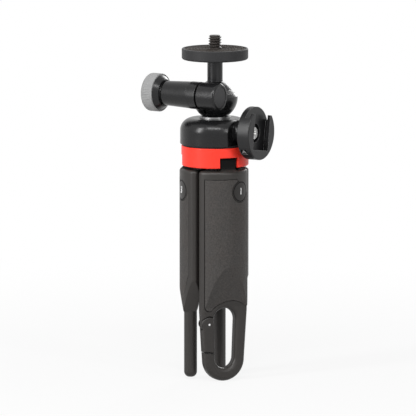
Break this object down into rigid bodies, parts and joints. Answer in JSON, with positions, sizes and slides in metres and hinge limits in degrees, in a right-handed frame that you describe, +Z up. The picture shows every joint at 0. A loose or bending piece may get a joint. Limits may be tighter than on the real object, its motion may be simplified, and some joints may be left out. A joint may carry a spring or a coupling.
{
  "type": "mini tripod",
  "caption": "Mini tripod with folding legs, a snap-hook leg with a sprung gate, a swivelling cold shoe and a pinch-clamp ball head under a round camera plate.",
  "frame": {"origin": "on the vertical axis of the head, at the height of the snap hook's end with the legs folded", "axes": "+Z up along the camera stud, the snap-hook leg towards -Y, +X to the right of it"},
  "size_m": [0.0583, 0.0527, 0.1687],
  "materials": {
    "leg_plastic": "fine moulded texture",
    "grip_rubber": "fine grained rubber",
    "roundel": "smooth",
    "gate_plastic": "fine moulded texture",
    "steel": "plain",
    "bright_steel": "bright",
    "stud_steel": "dark, turned",
    "hub_plastic": "plain",
    "red_plastic": "satin",
    "black_plastic": "satin",
    "bearing_ring": "turned",
    "head_plastic": "satin",
    "liner_plastic": "plain",
    "ball_metal": "satin black",
    "plate_metal": "satin black",
    "plate_rubber": "ribbed",
    "knob_grey": "fine knurl",
    "nut_brass": "plain"
  },
  "bodies": {
    "base": {"hub": "hub_plastic", "collar_ring": "red_plastic", "dome_cover": "black_plastic", "pan_ring": "bearing_ring", "hinge_pins": "steel", "hub_screws": "steel", "detent_balls": "steel", "detent_springs": "steel", "shoe_screw": "bright_steel", "shoe_washer": "steel"},
    "leg_1": {"leg_1": "leg_plastic", "grip_pad_1": "grip_rubber", "leg_roundel_1": "roundel", "gate_spring": "steel"},
    "gate": {"gate": "gate_plastic", "gate_pin": "steel"},
    "leg_2": {"leg_2": "leg_plastic", "grip_pad_2": "grip_rubber", "leg_roundel_2": "roundel"},
    "leg_3": {"leg_3": "leg_plastic", "grip_pad_3": "grip_rubber", "leg_roundel_3": "roundel"},
    "head": {"clamp_housing": "head_plastic", "ball_liner": "liner_plastic", "pan_screw": "steel", "pan_washer": "steel", "clamp_bolt": "steel", "boss_cap": "head_plastic", "knob_sleeve": "head_plastic", "thrust_washer": "steel"},
    "knob": {"knob_hub": "head_plastic", "knob_grip": "knob_grey", "knob_nut": "nut_brass"},
    "ball": {"ball_stem": "ball_metal"},
    "plate": {"camera_plate": "plate_metal", "plate_pad": "plate_rubber", "camera_stud": "stud_steel"},
    "shoe": {"shoe_body": "black_plastic"}
  },
  "joints": [
    {"name": "leg_1_fold", "type": "hinge", "parent": "base", "child": "leg_1", "pos_m": [0, -0.0126, 0.1084], "axis": [-1, 0, 0], "range_deg": [0, 58]},
    {"name": "leg_2_fold", "type": "hinge", "parent": "base", "child": "leg_2", "pos_m": [0.01091, 0.0063, 0.1084], "axis": [0.5, -0.866, 0], "range_deg": [0, 58]},
    {"name": "leg_3_fold", "type": "hinge", "parent": "base", "child": "leg_3", "pos_m": [-0.01091, 0.0063, 0.1084], "axis": [0.5, 0.866, 0], "range_deg": [0, 58]},
    {"name": "gate_swing", "type": "hinge", "parent": "leg_1", "child": "gate", "pos_m": [-0.0087, -0.0094, 0.0284], "axis": [0, -1, 0], "range_deg": [0, 30], "stiffness_Nm_per_rad": 0.02, "springref_deg": -17.19},
    {"name": "head_pan", "type": "hinge", "parent": "base", "child": "head", "pos_m": [0, 0, 0.1293], "axis": [0, 0, 1], "range_deg": [-165, 110]},
    {"name": "ball_tilt", "type": "hinge", "parent": "head", "child": "ball", "pos_m": [0, 0, 0.1385], "axis": [0.8526, 0.5225, 0], "range_deg": [-26, 38]},
    {"name": "plate_turn", "type": "hinge", "parent": "ball", "child": "plate", "pos_m": [0, 0, 0.157], "axis": [0, 0, 1], "continuous": true},
    {"name": "knob_turn", "type": "hinge", "parent": "head", "child": "knob", "pos_m": [-0.02311, 0.01551, 0.1402], "axis": [-0.5225, 0.8526, 0], "range_deg": [0, 540]},
    {"name": "shoe_turn", "type": "hinge", "parent": "base", "child": "shoe", "pos_m": [0.01274, -0.01854, 0.1221], "axis": [0.5664, -0.8241, 0], "continuous": true}
  ]
}
